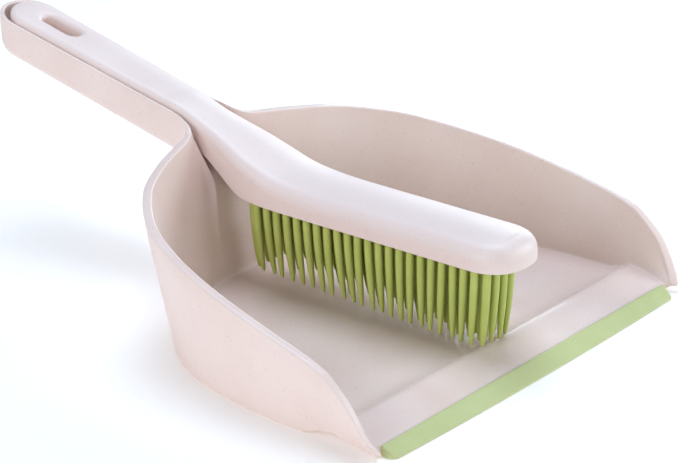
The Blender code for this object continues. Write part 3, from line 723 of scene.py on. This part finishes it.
def finger_axis(root, index, share):
    """A finger's centre at a share of its length, 0 at the root: it hangs down with a slight bow."""
    middle = (RING_REAR_X + RING_NOSE_X) / 2
    half = (RING_NOSE_X - RING_REAR_X) / 2
    place = (root.x - middle) / half              # -1 at the rear, 1 at the nose
    rearward = min(max(LEAN_END - place, 0.0), 1.0)
    lean = LEAN_REAR * rearward ** 2 * (3 - 2 * rearward) - LEAN_NOSE * max(place, 0.0) ** 6
    sway = SWAY * math.sin(index * 2.4)
    top = HEAD_BOTTOM + PAD_INSET - GAP
    tip = FINGER_TIP_Z + FINGER_TIP_RISE * (1 - place) / 2
    x = root.x + (sway + lean) * max(share, 0.0) ** 1.6
    y = root.y + SWAY * math.sin(index * 1.7) * share
    return Vector((x, y, top + (tip - top) * share))


def add_finger(bm, root, index):
    """One soft finger: it flares out of the pad, is fullest in its upper half, and ends in a round tip."""
    shares = [FORM_FROM + FORM_RUN * i / FORM_STEPS for i in range(FORM_STEPS + 1)]
    tip_radius = height_at(FINGER_FORM, TIP_FROM)
    stations = ROOT_FORM + [(share, height_at(FINGER_FORM, share)) for share in shares]
    stations += [(share, tip_radius * part) for share, part in TIP_FORM]
    rings = []
    for share, radius in stations:
        centre = finger_axis(root, index, share)
        ring = []
        for i in range(FINGER_SIDES):
            angle = 2 * math.pi * i / FINGER_SIDES
            ring.append(centre + Vector((radius * math.cos(angle), radius * math.sin(angle), 0.0)))
        rings.append(ring)
    loft(bm, rings)


def build_finger(index, material):
    bm = bmesh.new()
    add_finger(bm, ring_point(ring_length() * index / FINGER_COUNT), index)
    return piece(f"soft_finger_{index + 1:02d}", bm, material, sharp=FINGER_SHARP_ANGLE)


def build_inner_row(number, material):
    """All the fingers of one row inside the ring, as one piece."""
    bm = bmesh.new()
    for i, root in enumerate(inner_row(number)):
        add_finger(bm, root, i + ROW_OFFSET * (number + 1))
    return piece(f"soft_inner_row_{number + 1}", bm, material, sharp=FINGER_SHARP_ANGLE)


# Materials

def node(tree, kind, **settings):
    made = tree.nodes.new(kind)
    for key, value in settings.items():
        setattr(made, key, value)
    return made


def ramp(tree, value, stops):
    made = node(tree, "ShaderNodeValToRGB")
    elements = made.color_ramp.elements
    while len(elements) < len(stops):
        elements.new(0.5)
    for element, (position, colour) in zip(elements, stops):
        element.position = position
        element.color = (*colour, 1.0)
    tree.links.new(value, made.inputs["Fac"])
    return made.outputs["Color"]


def noise(tree, place, scale, detail=2.0, roughness=0.5):
    made = node(tree, "ShaderNodeTexNoise")
    made.inputs["Scale"].default_value = scale
    made.inputs["Detail"].default_value = detail
    made.inputs["Roughness"].default_value = roughness
    tree.links.new(place, made.inputs["Vector"])
    return made.outputs["Fac"]


def grain(tree, place, scale, strength, detail=2.0):
    """Moulded grain as a bump."""
    bump = node(tree, "ShaderNodeBump")
    bump.inputs["Strength"].default_value = strength
    bump.inputs["Distance"].default_value = 0.0001
    tree.links.new(noise(tree, place, scale, detail), bump.inputs["Height"])
    return bump.outputs["Normal"]


def grey(value):
    return (value, value, value)


def new_material(name):
    """A material's node tree, its shader and the place on the object."""
    material = bpy.data.materials.new(name)
    material.use_nodes = True
    tree = material.node_tree
    return material, tree, tree.nodes["Principled BSDF"], node(tree, "ShaderNodeTexCoord").outputs["Object"]


def plastic(name, light, dark, speck, rough, polish=0.0):
    """Moulded straw-filled plastic: faintly cloudy, with fine brown specks and a soft moulded grain.

    Level faces that point up are glossier by the polish, like a tray's floor against its walls.
    """
    material, tree, shader, place = new_material(name)
    cloud = ramp(tree, noise(tree, place, 22.0, 4.0), [(0.36, dark), (0.62, light)])
    flecks = ramp(tree, noise(tree, place, 900.0, 1.0, 0.7), [(0.26, grey(0.34)), (0.33, grey(0.0))])
    mix = node(tree, "ShaderNodeMix", data_type="RGBA")
    tree.links.new(flecks, mix.inputs["Factor"])
    tree.links.new(cloud, mix.inputs["A"])
    mix.inputs["B"].default_value = (*speck, 1.0)
    tree.links.new(mix.outputs["Result"], shader.inputs["Base Color"])

    low, high = rough
    uneven = ramp(tree, noise(tree, place, 60.0, 4.0), [(0.3, grey(low)), (0.7, grey(high))])
    facing = node(tree, "ShaderNodeSeparateXYZ")
    tree.links.new(node(tree, "ShaderNodeNewGeometry").outputs["Normal"], facing.inputs["Vector"])
    level = ramp(tree, facing.outputs["Z"], [(0.93, grey(0.0)), (0.965, grey(polish))])
    less = node(tree, "ShaderNodeMath", operation="SUBTRACT")
    tree.links.new(uneven, less.inputs[0])
    tree.links.new(level, less.inputs[1])
    tree.links.new(less.outputs[0], shader.inputs["Roughness"])
    tree.links.new(grain(tree, place, 900.0, 0.2), shader.inputs["Normal"])
    shader.inputs["Specular IOR Level"].default_value = 0.5
    return material


def rubber(name, light, dark, rough):
    """Soft rubber: matt, with a faint mottle and a fine grain."""
    material, tree, shader, place = new_material(name)
    mottle = ramp(tree, noise(tree, place, 90.0, 3.0), [(0.3, dark), (0.7, light)])
    tree.links.new(mottle, shader.inputs["Base Color"])
    low, high = rough
    uneven = ramp(tree, noise(tree, place, 200.0, 3.0), [(0.3, grey(low)), (0.7, grey(high))])
    tree.links.new(uneven, shader.inputs["Roughness"])
    tree.links.new(grain(tree, place, 700.0, 0.25, 3.0), shader.inputs["Normal"])
    shader.inputs["Specular IOR Level"].default_value = 0.4
    return material


# Stage

FLOOR_SINK = 0.0002     # keeps the floor just clear of the pan's foot
LIT_POINT = (0.0, 0.0, 0.04)
# Each softbox: name, place in metres, size, watts and colour.
SOFTBOXES = [
    ("overhead", (-0.15, 0.27, 1.42), 1.1, 14.9, (0.83, 1.0, 1.24)),
    ("front", (0.05, -1.34, 0.66), 0.9, 10.6, (0.82, 0.95, 1.08)),
    ("right", (1.42, 0.10, 0.42), 0.8, 3.4, (0.90, 0.95, 0.99)),
    ("back_right", (0.95, 1.10, 0.48), 0.8, 8.0, (0.83, 1.0, 1.12)),
    ("back", (-0.45, 1.38, 0.48), 0.8, 6.0, (0.83, 1.0, 1.12)),
]
CAMERA_PLACE = (680.8, -998.3, 569.4)
CAMERA_LENS = 159.06
CAMERA_AZIMUTH = 38.5
CAMERA_ELEVATION = 22.58


def build_stage():
    """A wide pale floor that curves up into a low pale wall all round."""
    flat, bend, top, turns = 5.0, 1.0, 2.2, 64    # metres, and points round the floor
    profile = [(flat, 0.0)]
    for i in range(1, 9):
        angle = math.pi / 2 * i / 8
        profile.append((flat + bend * math.sin(angle), bend * (1 - math.cos(angle))))
    profile.append((flat + bend, top))
    bm = bmesh.new()
    spokes = [2 * math.pi * i / turns for i in range(turns)]
    rings = []
    for radius, z in profile:
        rings.append([bm.verts.new((radius * math.cos(a), radius * math.sin(a), z)) for a in spokes])
    bm.faces.new(rings[0])
    for inner, outer in zip(rings, rings[1:]):
        for i in range(turns):
            j = (i + 1) % turns
            bm.faces.new((inner[i], outer[i], outer[j], inner[j])).smooth = True
    mesh = bpy.data.meshes.new("floor")
    bm.to_mesh(mesh)
    bm.free()
    floor = bpy.data.objects.new("floor", mesh)
    floor.location.z = -FLOOR_SINK
    bpy.context.scene.collection.objects.link(floor)
    material = bpy.data.materials.new("floor_white")
    material.use_nodes = True
    shader = material.node_tree.nodes["Principled BSDF"]
    shader.inputs["Base Color"].default_value = (0.84, 0.80, 0.77, 1.0)
    shader.inputs["Roughness"].default_value = 0.8
    shader.inputs["Emission Color"].default_value = (1.0, 1.0, 1.0, 1.0)
    shader.inputs["Emission Strength"].default_value = 0.25
    mesh.materials.append(material)


def area_light(name, place, size, energy, colour):
    """A round softbox that faces the object."""
    data = bpy.data.lights.new(name, "AREA")
    data.shape = "DISK"
    data.size = size
    data.energy = energy
    data.color = colour
    made = bpy.data.objects.new(name, data)
    made.location = place
    made.rotation_euler = (Vector(place) - Vector(LIT_POINT)).to_track_quat("Z", "Y").to_euler()
    bpy.context.scene.collection.objects.link(made)


def build_light():
    """A dim white room, with softboxes overhead, on the near side, before the lip and on the far side."""
    world = bpy.data.worlds.new("studio")
    world.use_nodes = True
    background = world.node_tree.nodes["Background"]
    background.inputs["Color"].default_value = (1.0, 0.93, 0.90, 1.0)
    background.inputs["Strength"].default_value = 0.02
    bpy.context.scene.world = world
    for softbox in SOFTBOXES:
        area_light(*softbox)
    bpy.context.scene.view_settings.view_transform = "Standard"


def build_camera():
    """A long lens above the near front corner, looking down into the pan."""
    azimuth, elevation = math.radians(CAMERA_AZIMUTH), math.radians(CAMERA_ELEVATION)
    away = (math.sin(azimuth) * math.cos(elevation), -math.cos(azimuth) * math.cos(elevation),
            math.sin(elevation))
    data = bpy.data.cameras.new("camera")
    data.sensor_width = 36.0
    data.lens = CAMERA_LENS
    camera = bpy.data.objects.new("camera", data)
    camera.location = (Vector(CAMERA_PLACE) + Vector((SHIFT, 0.0, 0.0))) * MM
    camera.rotation_euler = Vector(away).to_track_quat("Z", "Y").to_euler()
    bpy.context.scene.collection.objects.link(camera)
    bpy.context.scene.camera = camera


def main():
    """Builds every piece, puts each in its body, hides the frame's part it replaces, and sets the stage."""
    pan_plastic = plastic(
        "pan_look", (0.885, 0.70, 0.625), (0.85, 0.645, 0.565), (0.48, 0.33, 0.27), (0.40, 0.50), 0.26)
    brush_plastic = plastic(
        "brush_look", (0.875, 0.705, 0.64), (0.86, 0.685, 0.62), (0.60, 0.44, 0.38), (0.36, 0.46))
    lip_rubber = rubber("lip_look", (0.58, 0.60, 0.28), (0.55, 0.57, 0.255), (0.5, 0.62))
    finger_rubber = rubber("finger_look", (0.52, 0.57, 0.145), (0.47, 0.52, 0.115), (0.36, 0.48))

    pieces = [
        (build_pan(pan_plastic), "dust_pan", "pan", "pan_plastic"),
        (build_lip(lip_rubber), "pan_lip", "pan", "lip_rubber"),
        (build_shell(brush_plastic), "brush_shell", "brush", "brush_plastic"),
        (build_pad(finger_rubber), "bristle_pad", "brush", "finger_rubber"),
    ]
    for index in range(FINGER_COUNT):
        finger = build_finger(index, finger_rubber)
        pieces.append((finger, f"finger_{index + 1:02d}", "brush", "finger_rubber"))
    for number in range(INNER_ROWS):
        row = build_inner_row(number, finger_rubber)
        pieces.append((row, f"inner_fingers_{number + 1}", "brush", "finger_rubber"))
    for made, cad_node, body, slot in pieces:
        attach(made, body)
        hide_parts(cad_node)

    build_stage()
    build_light()
    build_camera()


main()
